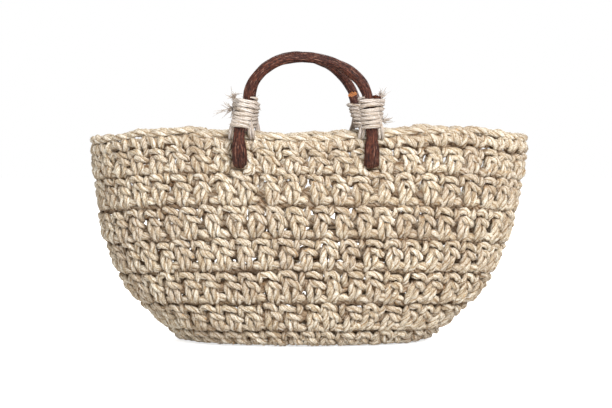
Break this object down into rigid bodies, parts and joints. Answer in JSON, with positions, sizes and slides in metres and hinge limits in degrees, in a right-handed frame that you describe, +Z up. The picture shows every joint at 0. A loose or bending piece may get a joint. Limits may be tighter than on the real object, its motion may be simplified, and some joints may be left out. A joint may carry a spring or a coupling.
{
  "type": "crocheted basket handbag",
  "caption": "Crocheted oval basket handbag with a flat base and two bent cane handles, each hooked through the wall and lashed with twine.",
  "frame": {"origin": "middle of the flat base, on the surface the bag stands on", "axes": "+X along the bag to the right, +Y from the front wall to the rear wall, +Z up"},
  "size_m": [0.4026, 0.2229, 0.2688],
  "materials": {
    "crochet_yarn": "matte twisted plant-fibre yarn in double crochet",
    "dark_cane": "satin, dark red-brown, wrinkled bark",
    "lashing_twine": "matte off-white cotton twine"
  },
  "bodies": {
    "bag": {"base_oval": "crochet_yarn", "wall_round_1": "crochet_yarn", "wall_round_2": "crochet_yarn", "wall_round_3": "crochet_yarn", "wall_round_4": "crochet_yarn", "wall_round_5": "crochet_yarn", "wall_round_6": "crochet_yarn", "wall_round_7": "crochet_yarn", "rim_round": "crochet_yarn"},
    "front_handle": {"front_cane_handle": "dark_cane", "front_left_lashing": "lashing_twine", "front_right_lashing": "lashing_twine"},
    "rear_handle": {"rear_cane_handle": "dark_cane", "rear_left_lashing": "lashing_twine", "rear_right_lashing": "lashing_twine"}
  },
  "joints": [
    {"name": "front_handle_lean", "type": "hinge", "parent": "bag", "child": "front_handle", "pos_m": [0, -0.0904, 0.1752], "axis": [-1, 0, 0], "range_deg": [-20, 30], "deforming": ["wall_round_7", "rim_round"]},
    {"name": "rear_handle_lean", "type": "hinge", "parent": "bag", "child": "rear_handle", "pos_m": [0, 0.0904, 0.1752], "axis": [1, 0, 0], "range_deg": [-20, 30], "deforming": ["wall_round_7", "rim_round"]}
  ]
}
